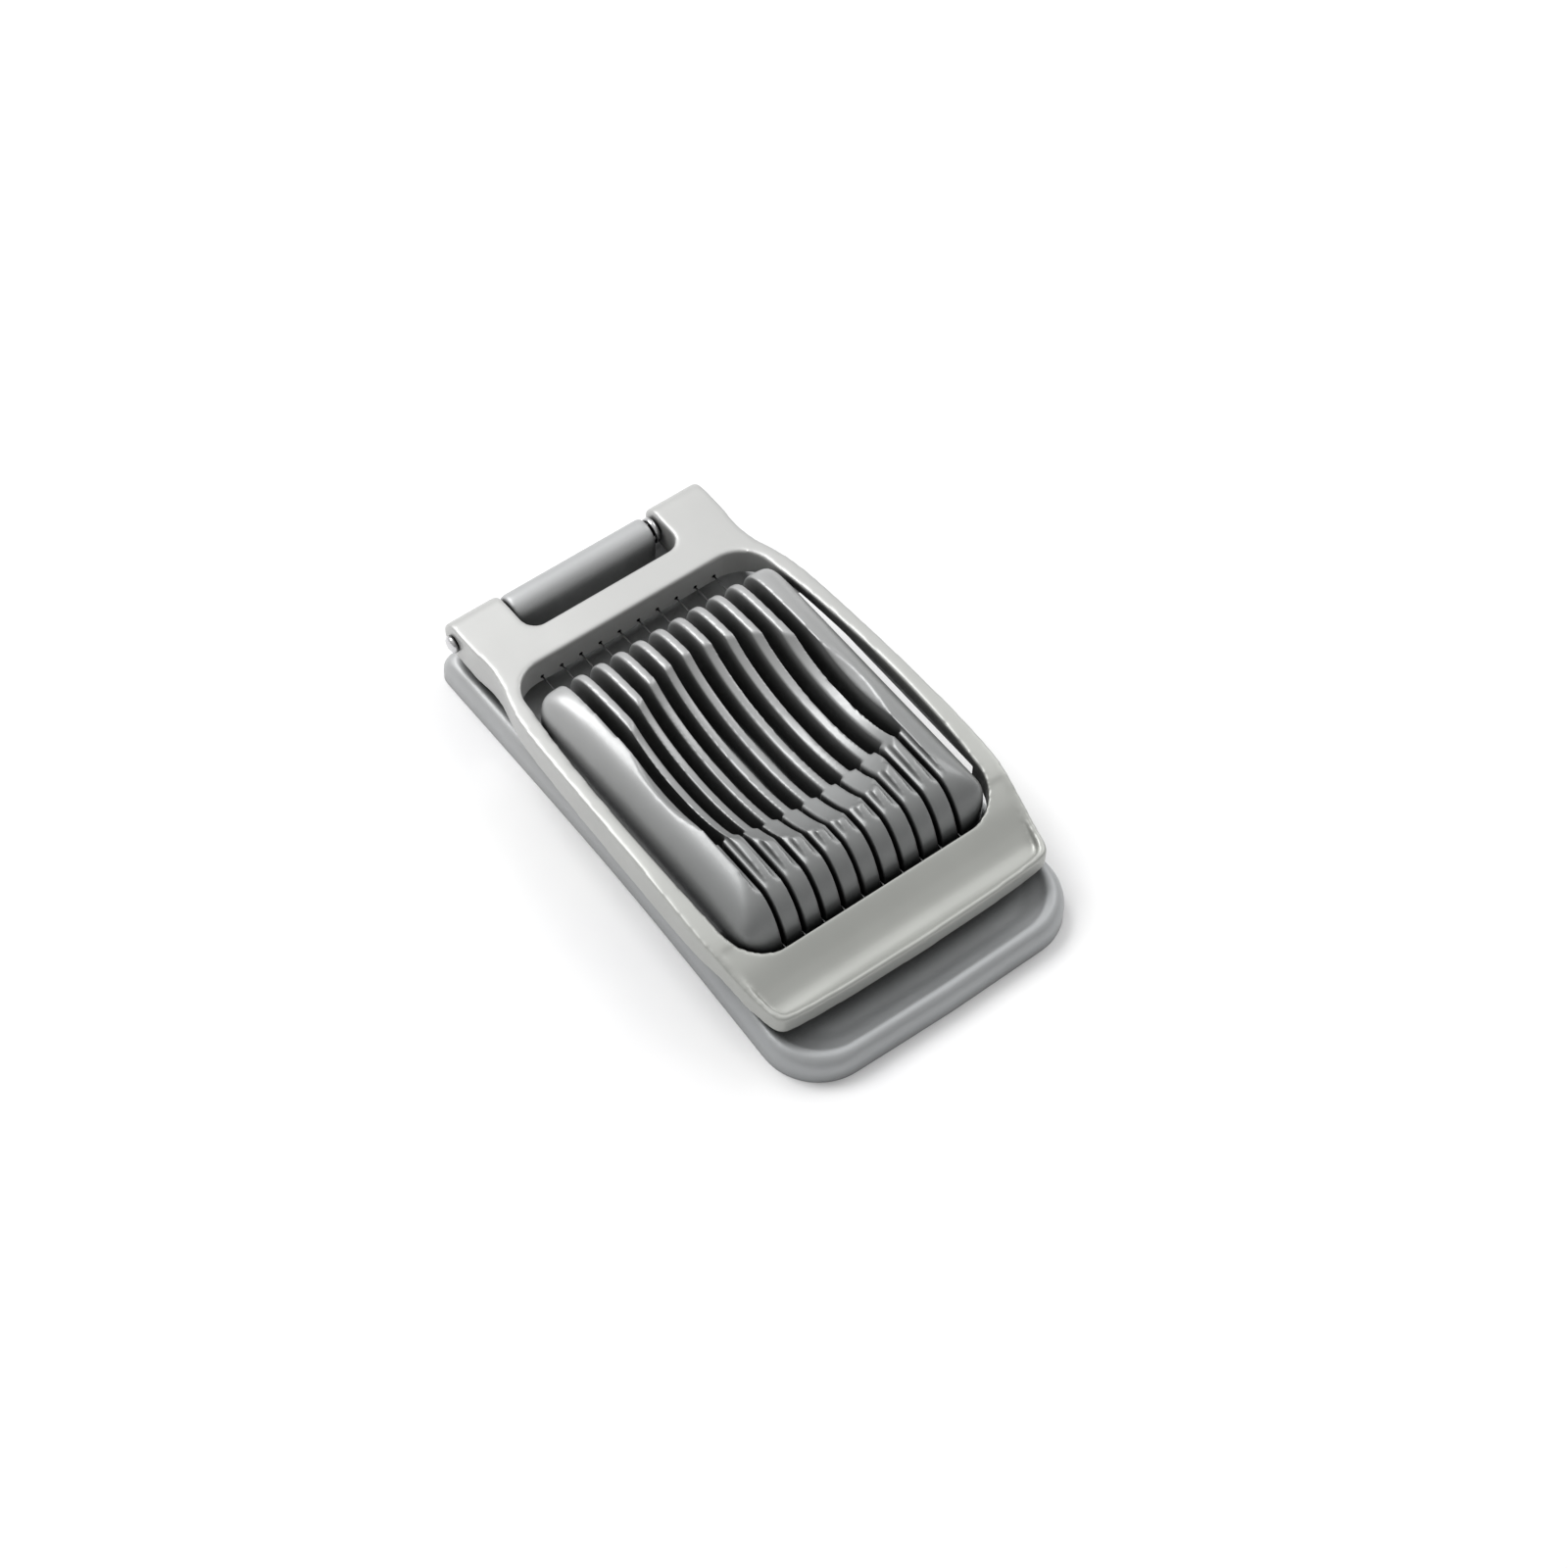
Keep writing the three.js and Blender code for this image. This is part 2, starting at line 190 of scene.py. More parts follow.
def cradle_plan(inset=0):
    """The cradle from above, moved inwards by inset."""
    half = CRADLE_HIGH.x - inset
    front, rear = CRADLE_LOW.y + inset, CRADLE_HIGH.y - inset
    corner = CRADLE_CORNER - inset / 2
    return mirrored([
        (0, front),
        *arc(half - corner, front + corner, corner, corner, -90, 0),
        *arc(half - corner, rear - corner, corner, corner, 0, 90),
        (0, rear)])


def cradle_side():
    """The cradle from the side: a long crest that rounds off to both ends."""
    low, rear, front = CRADLE_LOW.z - SKIRT, CRADLE_HIGH.y, CRADLE_LOW.y
    return [
        (rear, low),
        *curve([(rear, 16.5), (34.9, 20.8), (31, 23.6), (20, 24.9)]),
        *curve([(-20, CREST_Z), (-27, 25.5), (-32, 24.3), (-35.6, 22.1), (-38, 18.6), (-40, 14)]),
        (front, low)]


def cradle_front_view():
    """The cradle from the front: a level crest between two long round shoulders."""
    half, top = CRADLE_HIGH.x, CREST_Z + 0.3
    return mirrored([
        (0, CRADLE_LOW.z - SKIRT),
        (half, CRADLE_LOW.z - SKIRT),
        *arc(CRADLE_SHOULDER, CRADLE_WALL_TOP, half - CRADLE_SHOULDER, top - CRADLE_WALL_TOP, 0, 90),
        (0, top)])


def head_plan(inset=0):
    """The frame from above, moved inwards by inset along its sides and its front edge."""
    front = [(0, -55.7), (18, -55.4), (31, -54.6), (34.2, -53.4), (35.2, -51)]
    side = [(35.2, -51), (36.7, -42.5), (38, -31), (37.9, -18), (37.3, 5), (36.4, 27), (35.2, 36.5),
            (33.2, 43.5), (32.4, 49), (32.7, 55), (EAR_HALF, 60)]
    return mirrored([
        *curve([(max(0, x - inset), y + inset) for x, y in front]),
        *curve([(x - inset, y + inset) for x, y in side]),
        (EAR_HALF - inset, PAST_REAR),
        (0, PAST_REAR)])


def window_plan():
    """The opening inside the rails and bars, from above."""
    front_corner, rear_corner = WINDOW_FRONT_CORNER, WINDOW_REAR_CORNER
    half, rear_half = WINDOW_HALF_FRONT, WINDOW_HALF_REAR
    side_front, side_rear = WINDOW_FRONT + front_corner, WINDOW_REAR - rear_corner
    return mirrored([
        (0, WINDOW_FRONT),
        *arc(half - front_corner, side_front, front_corner, front_corner, -90, 0),
        *curve([(half, side_front), (34, -18), (34, 2), (33, 22), (rear_half, side_rear)]),
        *arc(rear_half - rear_corner, side_rear, rear_corner, rear_corner, 0, 90),
        (0, WINDOW_REAR)])


def head_side():
    """The frame from the side: round ears, an arched top that falls to the lip, and the underside."""
    return [
        *arc(HINGE.y, HINGE.z, EAR_RADIUS, EAR_RADIUS, -90, 90, 24),
        *curve([(WINDOW_REAR, 18.4), (20, 19.8), (-10, 20.6), (-32, 19.2), (WINDOW_FRONT, 16.4),
                (-47, 14.7), (-52, 14), (-57, 14)]),
        (-57, 8.8),
        (-46, 9.2),
        (-38, 12),
        (38, 12.2),
        (NOTCH_FRONT - 4, 9.6),
        (NOTCH_FRONT, 8.8)]


def notch_plan():
    """The gap between the ears that the barrel stands in, from above."""
    return mirrored([
        (0, NOTCH_FRONT),
        *arc(NOTCH_HALF - NOTCH_CORNER, NOTCH_FRONT + NOTCH_CORNER, NOTCH_CORNER, NOTCH_CORNER, -90, 0),
        (NOTCH_HALF, PAST_REAR + 5),
        (0, PAST_REAR + 5)])


# ---- solids ---------------------------------------------------------------------------------

def new_object(name, bm):
    """An object whose mesh holds what a BMesh holds, with its faces pointing out."""
    bmesh.ops.recalc_face_normals(bm, faces=bm.faces)
    mesh = bpy.data.meshes.new(name)
    bm.to_mesh(mesh)
    bm.free()
    piece = bpy.data.objects.new(name, mesh)
    bpy.context.scene.collection.objects.link(piece)
    return piece


def spot(point, distance, along):
    """A vertex in metres: a point of a flat outline, moved a distance along an axis."""
    a, b = point
    places = {"x": (distance, a, b), "y": (a, distance, b), "z": (a, b, distance)}
    return Vector(places[along]) * MM


def prism(outline, low, high, along):
    """A solid between two copies of an outline: plan up z, side view along x, front view along y."""
    bm = bmesh.new()
    ends = [[bm.verts.new(spot(p, d, along)) for p in outline] for d in (low, high)]
    for end in ends:
        bm.faces.new(end)
    for k in range(len(outline)):
        following = (k + 1) % len(outline)
        bm.faces.new((ends[0][k], ends[0][following], ends[1][following], ends[1][k]))
    return new_object("tool", bm)


def block(low, high):
    """A box between its lowest and highest corners."""
    outline = [(low[0], low[1]), (high[0], low[1]), (high[0], high[1]), (low[0], high[1])]
    return prism(outline, low[2], high[2], "z")


def rod(radius, low, high, along, middle, steps=48):
    """A round rod along an axis, about a point given in the two other coordinates."""
    return prism(arc(*middle, radius, radius, 0, 360, steps)[:-1], low, high, along)


def ellipsoid(middle, radii):
    """A ball stretched to three radii."""
    bm = bmesh.new()
    bmesh.ops.create_uvsphere(bm, u_segments=128, v_segments=64, radius=1)
    for v in bm.verts:
        v.co = Vector(m + c * r for m, c, r in zip(middle, v.co, radii)) * MM
    return new_object("tool", bm)


def combine(body, tool, operation):
    """Joins or cuts a body with a tool, which is used up."""
    modifier = body.modifiers.new("cut", "BOOLEAN")
    modifier.operation = operation
    modifier.solver = "MANIFOLD"
    modifier.object = tool
    settle(body)
    bpy.data.objects.remove(tool)


def settle(piece):
    """Puts what a piece's modifiers make into its mesh."""
    graph = bpy.context.evaluated_depsgraph_get()
    mesh = bpy.data.meshes.new_from_object(piece.evaluated_get(graph))
    piece.modifiers.clear()
    piece.data = mesh


def soften(piece, voxel, rounds, share=1.0):
    """Rounds a solid's edges: an even mesh, whose points move towards their neighbours, then thinned."""
    remesh = piece.modifiers.new("remesh", "REMESH")
    remesh.mode = "VOXEL"
    remesh.voxel_size = voxel * MM
    smooth = piece.modifiers.new("smooth", "SMOOTH")
    smooth.factor = 0.5
    smooth.iterations = rounds
    if share < 1:
        thin = piece.modifiers.new("thin", "DECIMATE")
        thin.ratio = share
    settle(piece)


def cut_below(piece, height):
    """Makes a casting's foot flat again at a height."""
    reach, depth = 90, 50
    combine(piece, block((-reach, -reach, height - depth), (reach, reach, height)), "DIFFERENCE")


def finish(piece, name):
    """Names a casting and shades it smooth, except at its machined edges."""
    piece.name = name
    piece.data.name = name
    piece.data.shade_smooth()
    piece.data.set_sharp_from_angle(angle=SHARP_ANGLE)
    return piece


def lathe(name, profile, along, middle, steps=32):
    """A turned piece: profile is (place along the axis, radius), starting and ending at radius 0
    or closed on itself."""
    closed = profile[0] == profile[-1]
    rings = profile[:-1] if closed else profile
    bm = bmesh.new()
    rows = []
    for place, radius in rings:
        turns = [2 * math.pi * k / steps for k in range(steps if radius else 1)]
        ring = [(middle[0] + radius * math.cos(t), middle[1] + radius * math.sin(t)) for t in turns]
        rows.append([bm.verts.new(spot(p, place, along)) for p in ring])
    pairs = zip(rows, rows[1:] + rows[:1]) if closed else zip(rows, rows[1:])
    for near, far in pairs:
        for k in range(steps):
            n = (k + 1) % steps
            corners = [near[k % len(near)], near[n % len(near)], far[n % len(far)], far[k % len(far)]]
            bm.faces.new(list(dict.fromkeys(corners)))
    piece = new_object(name, bm)
    piece.data.shade_smooth()
    return piece


# ---- the three castings ---------------------------------------------------------------------

def add_rolled_edge(body):
    """Builds the plate's upper edge on a body: layers that step in along a quarter of an ellipse."""
    shoulder, overlap = PLATE_HEIGHT - ROLL_HEIGHT, 0.05
    for k in range(LAYERS):
        low, high = k / LAYERS, (k + 1) / LAYERS
        inset = ROLL_WIDTH * (1 - math.sqrt(1 - ((low + high) / 2) ** 2))
        bottom, top = shoulder + low * ROLL_HEIGHT - overlap, shoulder + high * ROLL_HEIGHT
        combine(body, prism(base_plan(inset), bottom, top, "z"), "UNION")


def cut_tray(body):
    """Cuts the tray, whose floor rises to the rim in a fillet."""
    rise = PLATE_HEIGHT - TRAY_FLOOR
    for k in range(LAYERS):
        inset = RIM_WIDTH + RIM_FILLET * (1 - k / LAYERS) ** 2
        step = prism(base_plan(inset), TRAY_FLOOR + rise * k / LAYERS, PLATE_HEIGHT + 1, "z")
        combine(body, step, "DIFFERENCE")


def base_casting():
    """A plate with a rolled upper edge and a shallow tray, and the hinge barrel on its pedestal."""
    body = prism(base_plan(), -SKIRT, PLATE_HEIGHT - ROLL_HEIGHT, "z")
    add_rolled_edge(body)
    cut_tray(body)
    left, right = BARREL_ENDS
    pedestal_front, pedestal_rear = HINGE.y - BARREL_RADIUS, HINGE.y + BARREL_RADIUS
    pedestal = block((left, pedestal_front, TRAY_FLOOR - 1), (right, pedestal_rear, HINGE.z))
    combine(body, pedestal, "UNION")
    combine(body, rod(BARREL_RADIUS, left, right, "x", HINGE.yz), "UNION")
    soften(body, voxel=0.4, rounds=22, share=0.5)
    cut_below(body, 0)
    combine(body, prism(base_plan(RECESS_INSET), -1, RECESS_HEIGHT, "z"), "DIFFERENCE")
    combine(body, rod(BORE_RADIUS, left - 1, right + 1, "x", HINGE.yz), "DIFFERENCE")
    for y in SCREW_YS:
        combine(body, rod(SCREW_HOLE_RADIUS, 0, TRAY_FLOOR + 1, "z", (0, y)), "DIFFERENCE")
    return finish(body, "base_casting")


def cradle_core():
    """The hollow in the cradle's foot, round the two screw bosses and with their holes."""
    low = CRADLE_LOW.z
    core = prism(cradle_plan(CORE_WALL), low - 1, CORE_TOP, "z")
    for y in SCREW_YS:
        combine(core, rod(BOSS_RADIUS, low - 2, CORE_TOP + 1, "z", (0, y)), "DIFFERENCE")
        combine(core, rod(SCREW_HOLE_RADIUS, low - 1, BOSS_HOLE_TOP, "z", (0, y)), "UNION")
    return core


def rim_room():
    """The base's rim with a gap round it, which the cradle's sides stand clear of."""
    reach = 50
    room = block((-reach, -reach, 0), (reach, reach, PLATE_HEIGHT + GAP))
    combine(room, prism(base_plan(RIM_WIDTH + GAP), -1, PLATE_HEIGHT + 1, "z"), "DIFFERENCE")
    return room


def cut_slots(body):
    """Cuts the ten wire slots, which become a channel over a slit towards the front."""
    front, rear, top = CRADLE_LOW.y - 1, CRADLE_HIGH.y + 1, CREST_Z + 2
    half, slit = SLOT_WIDTH / 2, SLIT_WIDTH / 2
    for x in WIRE_XS:
        slot = block((x - half, SLOT_FRONT, SLOT_FLOOR), (x + half, rear, top))
        combine(body, slot, "DIFFERENCE")
        channel = block((x - half, front, CHANNEL_FLOOR), (x + half, SLOT_FRONT + 1, top))
        combine(body, channel, "DIFFERENCE")
        narrow = block((x - slit, front, SLOT_FLOOR), (x + slit, SLOT_FRONT + 1, top))
        combine(body, narrow, "DIFFERENCE")


def cradle_casting():
    """A pillow-shaped block, hollowed for the egg and then slotted for the wires."""
    body = prism(cradle_side(), CRADLE_LOW.x - 1, CRADLE_HIGH.x + 1, "x")
    combine(body, prism(cradle_front_view(), CRADLE_LOW.y - 1, CRADLE_HIGH.y + 1, "y"), "INTERSECT")
    combine(body, prism(cradle_plan(), CRADLE_LOW.z - SKIRT, CREST_Z + 1, "z"), "INTERSECT")
    soften(body, voxel=0.6, rounds=55)
    combine(body, ellipsoid(HOLLOW_MIDDLE, HOLLOW_RADII), "DIFFERENCE")
    soften(body, voxel=0.35, rounds=12)
    cut_below(body, CRADLE_LOW.z)
    combine(body, cradle_core(), "DIFFERENCE")
    combine(body, rim_room(), "DIFFERENCE")
    cut_slots(body)
    soften(body, voxel=0.3, rounds=13, share=0.25)
    return finish(body, "cradle_casting")


def trough():
    """What is taken out of the front bar, inside its lip."""
    floor = curve([(-36, 18.2), (WINDOW_FRONT, 16.3), (-47, 13.4), (-50.4, 12.1), (-53.2, 12.6),
                   (-55, 14.2)])
    side = [*floor, (-55, 22), (-36, 22)]
    tool = prism(head_plan(TROUGH_WALL), FRAME_FLOOR, FRAME_CEILING, "z")
    combine(tool, prism(side, -ACROSS, ACROSS, "x"), "INTERSECT")
    return tool


def rail_hollow():
    """What is taken out of the rails from below."""
    front_view = mirrored([(0, 5), (36.1, 5), (35.9, 12.5), (34.6, 16.8), (0, 17)])
    return prism(front_view, -RAIL_REACH, RAIL_REACH, "y")


def wire_seats():
    """The grooves under the two bars that hold the ferrules, and the holes for the wires."""
    half, rear_room = WIRE_XS[-1] + 2, 0.3
    front, rear = WINDOW_FRONT - FRONT_WALL, WINDOW_REAR + REAR_WALL
    seats = block((-half, front - SEAT_LENGTH, FRAME_FLOOR), (half, front, SEAT_ROOF))
    rear_end = rear + SEAT_LENGTH + rear_room
    combine(seats, block((-half, rear, FRAME_FLOOR), (half, rear_end, SEAT_ROOF + 1)), "UNION")
    for x in WIRE_XS:
        for low, high in ((front - 1, WINDOW_FRONT + 1), (WINDOW_REAR - 1, rear + 1)):
            combine(seats, rod(WIRE_HOLE_RADIUS, low, high, "y", (x, WIRE_Z), 16), "UNION")
    return seats


def head_casting():
    """The hinged frame: an arched top with soft edges, hollow rails and grooves for the ferrules."""
    body = prism(head_plan(), FRAME_FLOOR, FRAME_CEILING, "z")
    combine(body, prism(head_side(), -ACROSS, ACROSS, "x"), "INTERSECT")
    combine(body, trough(), "DIFFERENCE")
    combine(body, prism(window_plan(), *THROUGH, "z"), "DIFFERENCE")
    combine(body, prism(notch_plan(), *THROUGH, "z"), "DIFFERENCE")
    soften(body, voxel=0.35, rounds=20, share=0.6)
    combine(body, rail_hollow(), "DIFFERENCE")
    combine(body, wire_seats(), "DIFFERENCE")
    combine(body, rod(BORE_RADIUS, -ACROSS, ACROSS, "x", HINGE.yz), "DIFFERENCE")
    return finish(body, "head_casting")


# ---- pins, wires and screws -----------------------------------------------------------------

def pin_piece():
    """A plain pin with a low domed head on the left."""
    left, right = PIN_LOW.x, PIN_HIGH.x
    shank, head, face = 1.3, (PIN_HIGH.z - PIN_LOW.z) / 2, left + 1.3
    profile = [(left, 0), (left + 0.05, 1.0), (left + 0.3, head - 0.35), (left + 0.7, head), (face, head),
               (face, shank), (right - 0.4, shank), (right - 0.1, shank - 0.25), (right, 0)]
    return lathe("hinge_pin_turned", profile, "x", HINGE.yz)


def washer_piece():
    """A flat ring with soft outer edges."""
    left, right, outer = WASHER_LOW.x, WASHER_HIGH.x, (WASHER_HIGH.z - WASHER_LOW.z) / 2
    soft = 0.2
    profile = [(left, BORE_RADIUS), (left, outer - soft), (left + soft, outer), (right - soft, outer),
               (right, outer - soft), (right, BORE_RADIUS), (left, BORE_RADIUS)]
    return lathe("hinge_washer_turned", profile, "x", HINGE.yz)


def wire_piece(number, x):
    """A straight wire with slightly blunted ends."""
    low, high = mm_box(f"cutting_wire_{number}")
    radius, tip = (high.x - low.x) / 2, 0.1
    profile = [(low.y, 0), (low.y, radius - tip), (low.y + tip, radius), (high.y - tip, radius),
               (high.y, radius - tip), (high.y, 0)]
    return lathe(f"wire_{number}", profile, "y", (x, WIRE_Z), 16)


def ferrule_piece(end, number, x):
    """A short sleeve with rounded lips and a waist where it was crimped."""
    low, high = mm_box(f"{end}_ferrule_{number}")
    inner, outer, middle = 0.45, (high.z - low.z) / 2, (low.y + high.y) / 2
    profile = [(low.y, inner), (low.y, outer - 0.15), (low.y + 0.15, outer), (middle - 0.25, outer - 0.05),
               (middle, outer - 0.2), (middle + 0.25, outer - 0.05), (high.y - 0.15, outer),
               (high.y, outer - 0.15), (high.y, inner), (low.y, inner)]
    return lathe(f"{end}_sleeve_{number}", profile, "y", (x, WIRE_Z), 20)


def screw_piece(place):
    """A pan-head screw, seen from below, with a cross recess."""
    low, high = mm_box(f"cradle_screw_{place}")
    y, head, shank = (low.y + high.y) / 2, (high.x - low.x) / 2, 1.2
    face = RECESS_HEIGHT - 0.3
    profile = [(low.z, 0), (low.z, head - 0.9), (low.z + 0.25, head - 0.3), (low.z + 0.7, head),
               (face, head), (face, shank), (high.z - 0.5, shank), (high.z, 0)]
    piece = lathe(f"screw_{place}", profile, "z", (0, y), 40)
    arm, half_slot, recess_top = 1.5, 0.3, low.z + 0.8
    for wide, deep in ((arm, half_slot), (half_slot, arm)):
        slot = block((-wide, y - deep, low.z - 0.5), (wide, y + deep, recess_top))
        combine(piece, slot, "DIFFERENCE")
    piece.data.shade_smooth()
    edges = piece.modifiers.new("edges", "BEVEL")
    edges.width = 0.06 * MM
    edges.segments = 2
    settle(piece)
    return piece


# ---- materials ------------------------------------------------------------------------------

class Surface:
    """A node material under construction: a Principled shader and what drives it."""

    def __init__(self, name, **sockets):
        self.material = bpy.data.materials.new(name)
        self.material.use_nodes = True
        self.nodes = self.material.node_tree.nodes
        self.links = self.material.node_tree.links
        self.shader = self.nodes["Principled BSDF"]
        for socket, value in sockets.items():
            self.shader.inputs[socket.replace("_", " ")].default_value = value
        self.place = self.nodes.new("ShaderNodeTexCoord").outputs["Object"]

    def noise(self, per_metre, detail, stretch=(1, 1, 1)):
        """Smooth random values over the piece, with per_metre patches in a metre."""
        mapping = self.nodes.new("ShaderNodeMapping")
        mapping.inputs["Scale"].default_value = stretch
        self.links.new(self.place, mapping.inputs["Vector"])
        noise = self.nodes.new("ShaderNodeTexNoise")
        noise.inputs["Scale"].default_value = per_metre
        noise.inputs["Detail"].default_value = detail
        self.links.new(mapping.outputs["Vector"], noise.inputs["Vector"])
        return noise.outputs["Fac"]

    def ramp(self, source, stops):
        """Colours for the values of a source, from (value, colour) stops."""
        ramp = self.nodes.new("ShaderNodeValToRGB")
        elements = ramp.color_ramp.elements
        while len(elements) < len(stops):
            elements.new(0.5)
        for element, (place, colour) in zip(elements, stops):
            element.position = place
            element.color = (*colour, 1)
        self.links.new(source, ramp.inputs["Fac"])
        return ramp.outputs["Color"]

    def towards_rear(self, front_mm, rear_mm):
        """0 at the front to 1 at the rear, by the place along Y."""
        split = self.nodes.new("ShaderNodeSeparateXYZ")
        self.links.new(self.place, split.inputs["Vector"])
        scale = self.nodes.new("ShaderNodeMapRange")
        scale.inputs["From Min"].default_value = front_mm * MM
        scale.inputs["From Max"].default_value = rear_mm * MM
        self.links.new(split.outputs["Y"], scale.inputs["Value"])
        return scale.outputs["Result"]

    def openness(self, reach_mm):
        """0 deep in a corner or a narrow gap, 1 where nothing is within reach."""
        crowd = self.nodes.new("ShaderNodeAmbientOcclusion")
        crowd.samples = 6
        crowd.inputs["Distance"].default_value = reach_mm * MM
        return crowd.outputs["AO"]

    def multiplied(self, first, second):
        """The product of two colours."""
        mix = self.nodes.new("ShaderNodeMix")
        mix.data_type = "RGBA"
        mix.blend_type = "MULTIPLY"
        mix.inputs["Factor"].default_value = 1
        colours = {socket.identifier: socket for socket in mix.inputs}
        self.links.new(first, colours["A_Color"])
        self.links.new(second, colours["B_Color"])
        return next(socket for socket in mix.outputs if socket.identifier == "Result_Color")

    def drive(self, socket, source):
        """Lets a source set one of the shader's inputs."""
        self.links.new(source, self.shader.inputs[socket])

    def spread(self, source, low, high):
        """A source's 0 to 1 turned into low to high."""
        scale = self.nodes.new("ShaderNodeMapRange")
        scale.inputs["To Min"].default_value = low
        scale.inputs["To Max"].default_value = high
        self.links.new(source, scale.inputs["Value"])
        return scale.outputs["Result"]

    def bump(self, source, height_mm, strength):
        """Fine relief from a source, on top of any that is there already."""
        bump = self.nodes.new("ShaderNodeBump")
        bump.inputs["Strength"].default_value = strength
        bump.inputs["Distance"].default_value = height_mm * MM
        self.links.new(source, bump.inputs["Height"])
        if self.shader.inputs["Normal"].is_linked:
            self.links.new(self.shader.inputs["Normal"].links[0].from_socket, bump.inputs["Normal"])
        self.links.new(bump.outputs["Normal"], self.shader.inputs["Normal"])


def cast_metal(name, tone, painted_front_shade, rough, reach_mm):
    """Satin casting: its tone drifts slowly, and painted shade darkens it towards the front and in
    recesses.
    """
    surface = Surface(name, Metallic=0.5, Coat_Weight=0.22, Coat_Roughness=0.13)
    white = (1, 1, 1)
    lighter = [part * 1.09 for part in tone]
    body = surface.ramp(surface.noise(45, 3), [(0.3, tone), (0.7, lighter)])
    # painted shade: the colour darkens from the rear towards the front
    painted_shade = surface.ramp(surface.towards_rear(-40, 35), [(0, painted_front_shade), (1, white)])
    # painted shade: colour darkened where other surfaces crowd close, in slots, gaps and under the frame
    recess = surface.ramp(surface.openness(reach_mm), [(0.15, (0.05, 0.05, 0.052)), (0.6, white)])
    surface.drive("Base Color", surface.multiplied(surface.multiplied(body, painted_shade), recess))
    surface.drive("Roughness", surface.spread(surface.noise(900, 5), rough - 0.06, rough + 0.06))
    surface.bump(surface.noise(2600, 3), height_mm=0.006, strength=0.6)
    surface.bump(surface.noise(160, 2), height_mm=0.012, strength=0.3)
    return surface.material


def drawn_steel(name, along):
    """Bright steel with fine drawing or turning lines along one axis, and painted shade in tight places.
    """
    stretch = [1 if axis == along else 12 for axis in "xyz"]
    surface = Surface(name, Metallic=1.0)
    lines = surface.noise(700, 4, stretch)
    tone = surface.ramp(lines, [(0.3, (0.52, 0.52, 0.53)), (0.7, (0.68, 0.68, 0.69))])
    # painted shade: colour darkened where other surfaces crowd close
    recess = surface.ramp(surface.openness(7), [(0.2, (0.06, 0.06, 0.06)), (0.8, (1, 1, 1))])
    surface.drive("Base Color", surface.multiplied(tone, recess))
    surface.drive("Roughness", surface.spread(lines, 0.18, 0.32))
    surface.bump(lines, height_mm=0.004, strength=0.5)
    return surface.material


def paper_floor():
    """White backdrop paper."""
    surface = Surface("paper_floor", Roughness=0.75)
    tone = surface.ramp(surface.noise(30, 3), [(0.3, (0.87, 0.87, 0.88)), (0.7, (0.9, 0.9, 0.9))])
    surface.drive("Base Color", tone)
    surface.bump(surface.noise(1500, 3), height_mm=0.01, strength=0.15)
    return surface.material


# ---- assembly -------------------------------------------------------------------------------

def fit(piece, body, node, material):
    """Puts a finished piece in place of its CAD node."""
    piece.data.materials.clear()
    piece.data.materials.append(material)
    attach(piece, body)
    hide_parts(node)


def build_slicer():
    """Makes every piece and puts it on the body that carries its CAD node."""
    # The third colour of each metal is painted shade towards the front; for the frame it also carries a
    # slight green tint of the casting.
    plate_metal = cast_metal("base_aluminium", (0.40, 0.406, 0.41), (0.90, 0.91, 0.92), 0.52, 11)
    frame_metal = cast_metal("frame_aluminium", (0.45, 0.452, 0.445), (0.84, 0.85, 0.82), 0.46, 9)
    # The cradle is the frame's metal; its darker tone is painted shade, for the shade it lies in.
    cradle_metal_painted_shade = cast_metal("cradle_aluminium_painted_shade", (0.38, 0.383, 0.384), (0.52, 0.53, 0.53), 0.42, 10)
    turned = drawn_steel("turned_steel", "x")
    drawn = drawn_steel("drawn_steel", "y")
    upright = drawn_steel("screw_steel", "z")
    fit(base_casting(), "base", "base_plate", plate_metal)
    fit(cradle_casting(), "base", "egg_cradle", cradle_metal_painted_shade)
    fit(head_casting(), "cutting_head", "cutting_frame", frame_metal)
    for place in ("front", "rear"):
        fit(screw_piece(place), "base", f"cradle_screw_{place}", upright)
    fit(pin_piece(), "cutting_head", "hinge_pin", turned)
    fit(washer_piece(), "cutting_head", "hinge_washer", turned)
    for number, x in zip(NUMBERS, WIRE_XS):
        fit(wire_piece(number, x), "cutting_head", f"cutting_wire_{number}", drawn)
        for end in ("front", "rear"):
            fit(ferrule_piece(end, number, x), "cutting_head", f"{end}_ferrule_{number}",
                drawn)


# ---- studio ---------------------------------------------------------------------------------

CAMERA_AZIMUTH, CAMERA_ELEVATION, CAMERA_ROLL = -39.1, 54.9, 2.07
CAMERA_AIM = Vector((3.74, -5.30, 7.54)) * MM
CAMERA_DISTANCE = 0.765
CAMERA_LENS = 84.5


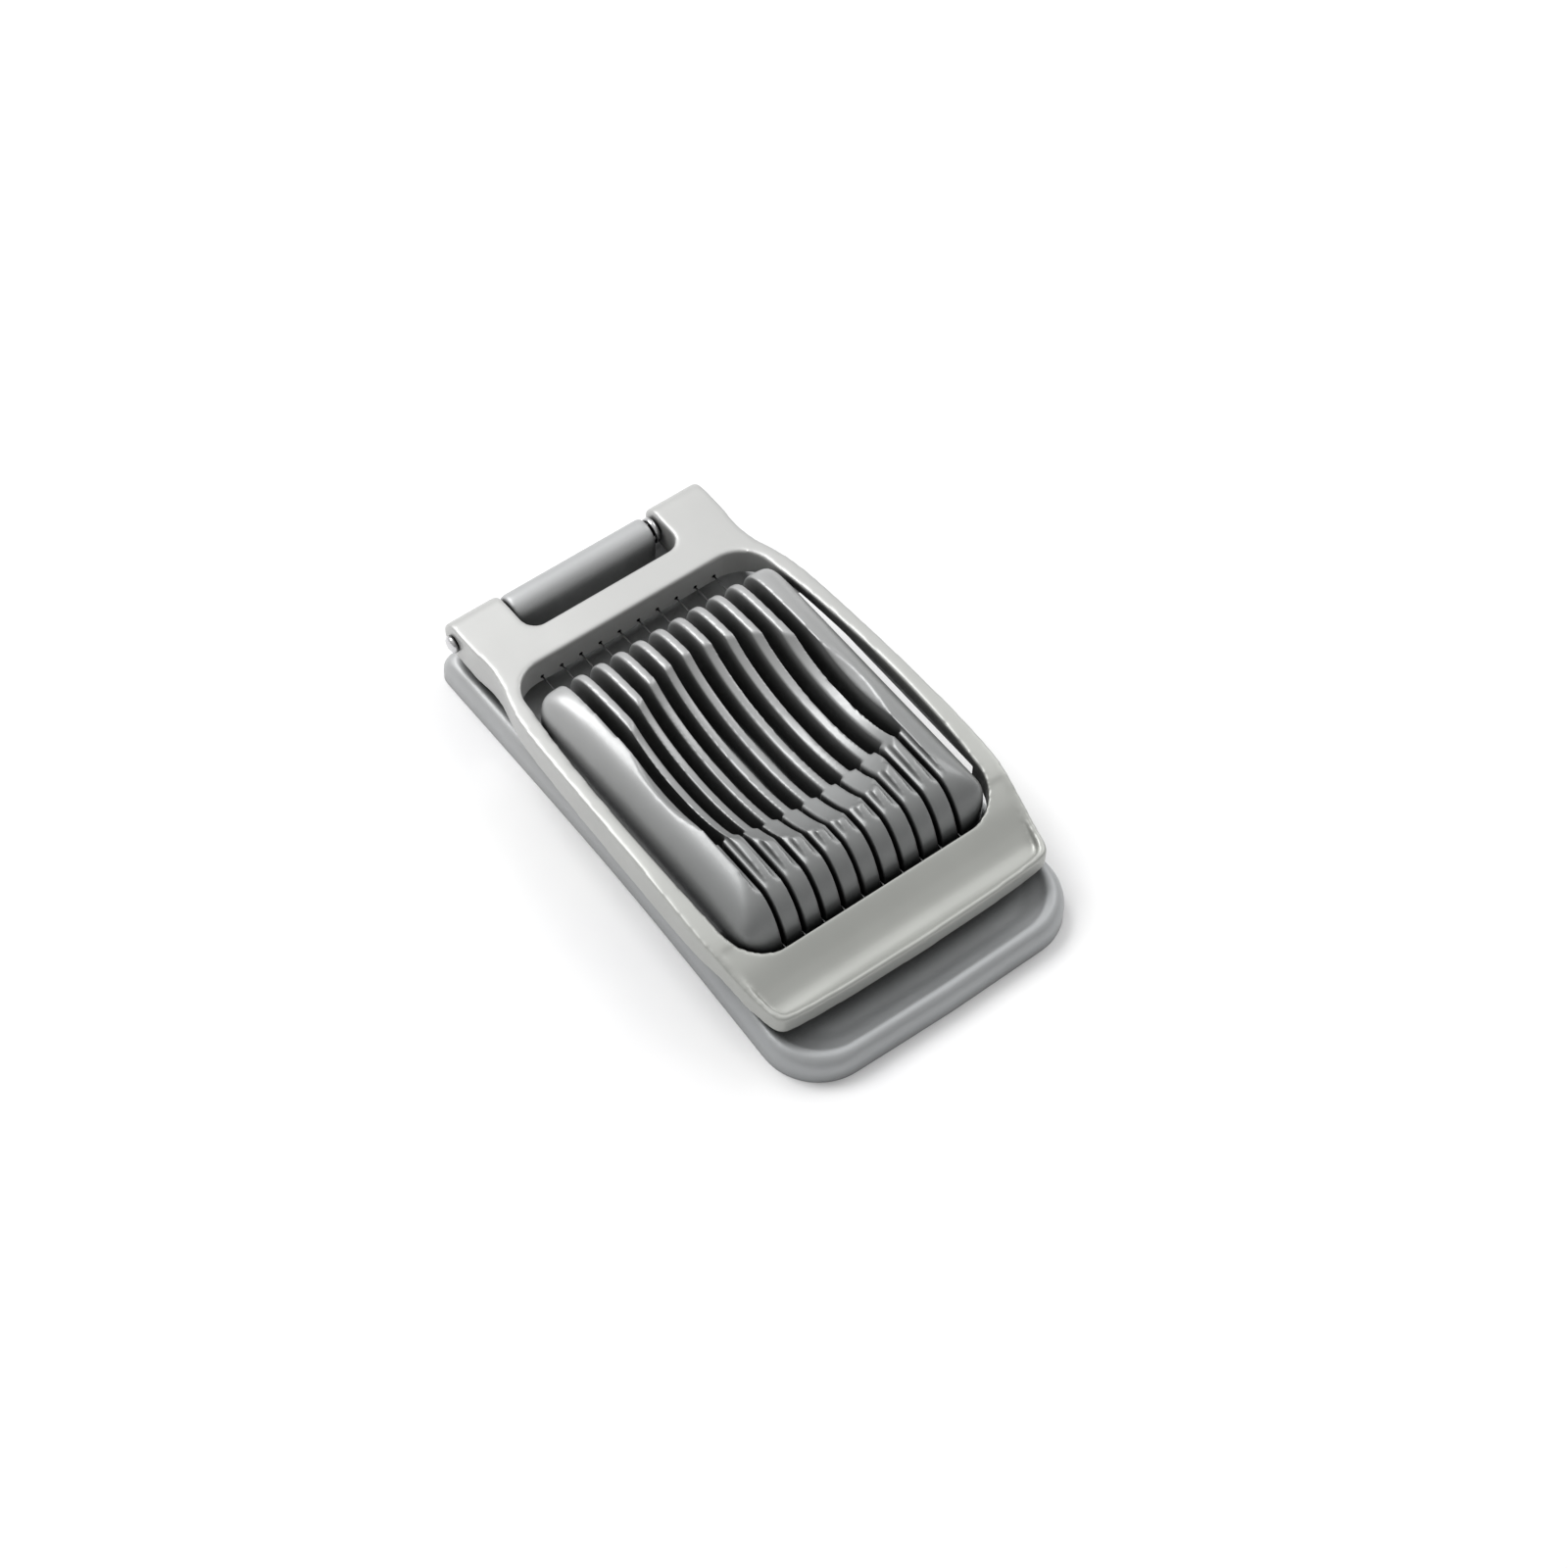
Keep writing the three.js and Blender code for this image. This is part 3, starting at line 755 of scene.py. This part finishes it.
def add_camera():
    """A long lens that looks down on the slicer from the front left."""
    turn, rise, roll = (math.radians(v) for v in (CAMERA_AZIMUTH, CAMERA_ELEVATION, CAMERA_ROLL))
    back = Vector((math.sin(turn) * math.cos(rise), -math.cos(turn) * math.cos(rise), math.sin(rise)))
    level = Vector((math.cos(turn), math.sin(turn), 0))
    above = back.cross(level)
    right = level * math.cos(roll) + above * math.sin(roll)
    up = above * math.cos(roll) - level * math.sin(roll)
    data = bpy.data.cameras.new("camera")
    data.lens = CAMERA_LENS
    data.sensor_width = 36
    data.clip_start = 0.05
    camera = bpy.data.objects.new("camera", data)
    place = CAMERA_AIM + back * CAMERA_DISTANCE
    camera.matrix_world = Matrix.Translation(place) @ Matrix((right, up, back)).transposed().to_4x4()
    bpy.context.scene.collection.objects.link(camera)
    bpy.context.scene.camera = camera


def add_softbox(name, place, size, power):
    """A rectangular light that faces the slicer."""
    data = bpy.data.lights.new(name, "AREA")
    data.shape = "RECTANGLE"
    data.size, data.size_y = size
    data.energy = power
    light = bpy.data.objects.new(name, data)
    light.location = place
    light.rotation_euler = Vector(place).to_track_quat("Z", "Y").to_euler()
    bpy.context.scene.collection.objects.link(light)


def add_world():
    """Soft room light: bright above and behind the object, dim in front of it."""
    bright_way = (0.1, 0.72, 0.68)
    world = bpy.data.worlds.new("studio")
    world.use_nodes = True
    nodes, links = world.node_tree.nodes, world.node_tree.links
    along = nodes.new("ShaderNodeVectorMath")
    along.operation = "DOT_PRODUCT"
    along.inputs[1].default_value = bright_way
    links.new(nodes.new("ShaderNodeTexCoord").outputs["Generated"], along.inputs[0])
    scale = nodes.new("ShaderNodeMapRange")
    scale.inputs["From Min"].default_value = -1
    links.new(along.outputs["Value"], scale.inputs["Value"])
    ramp = nodes.new("ShaderNodeValToRGB")
    ramp.color_ramp.elements.new(0.5)
    stops = ((0.2, (0.34, 0.34, 0.345)), (0.62, (0.62, 0.62, 0.61)), (0.95, (1, 1, 1)))
    for element, (place, colour) in zip(ramp.color_ramp.elements, stops):
        element.position = place
        element.color = (*colour, 1)
    links.new(scale.outputs["Result"], ramp.inputs["Fac"])
    background = nodes["Background"]
    background.inputs["Strength"].default_value = 0.9
    links.new(ramp.outputs["Color"], background.inputs["Color"])
    bpy.context.scene.world = world


def add_floor():
    """A wide round floor, just under the base's foot."""
    bm = bmesh.new()
    bmesh.ops.create_circle(bm, cap_ends=True, segments=96, radius=3)
    floor = new_object("floor", bm)
    floor.location.z = -0.02 * MM
    floor.data.materials.append(paper_floor())


def build_studio():
    bpy.context.scene.view_settings.view_transform = "Standard"
    add_world()
    add_floor()
    add_softbox("key_softbox", (-0.25, 0.75, 1.05), (0.9, 0.6), 11)
    add_softbox("side_softbox", (0.9, 0.1, 0.8), (0.5, 0.8), 3)


add_camera()
build_slicer()
build_studio()
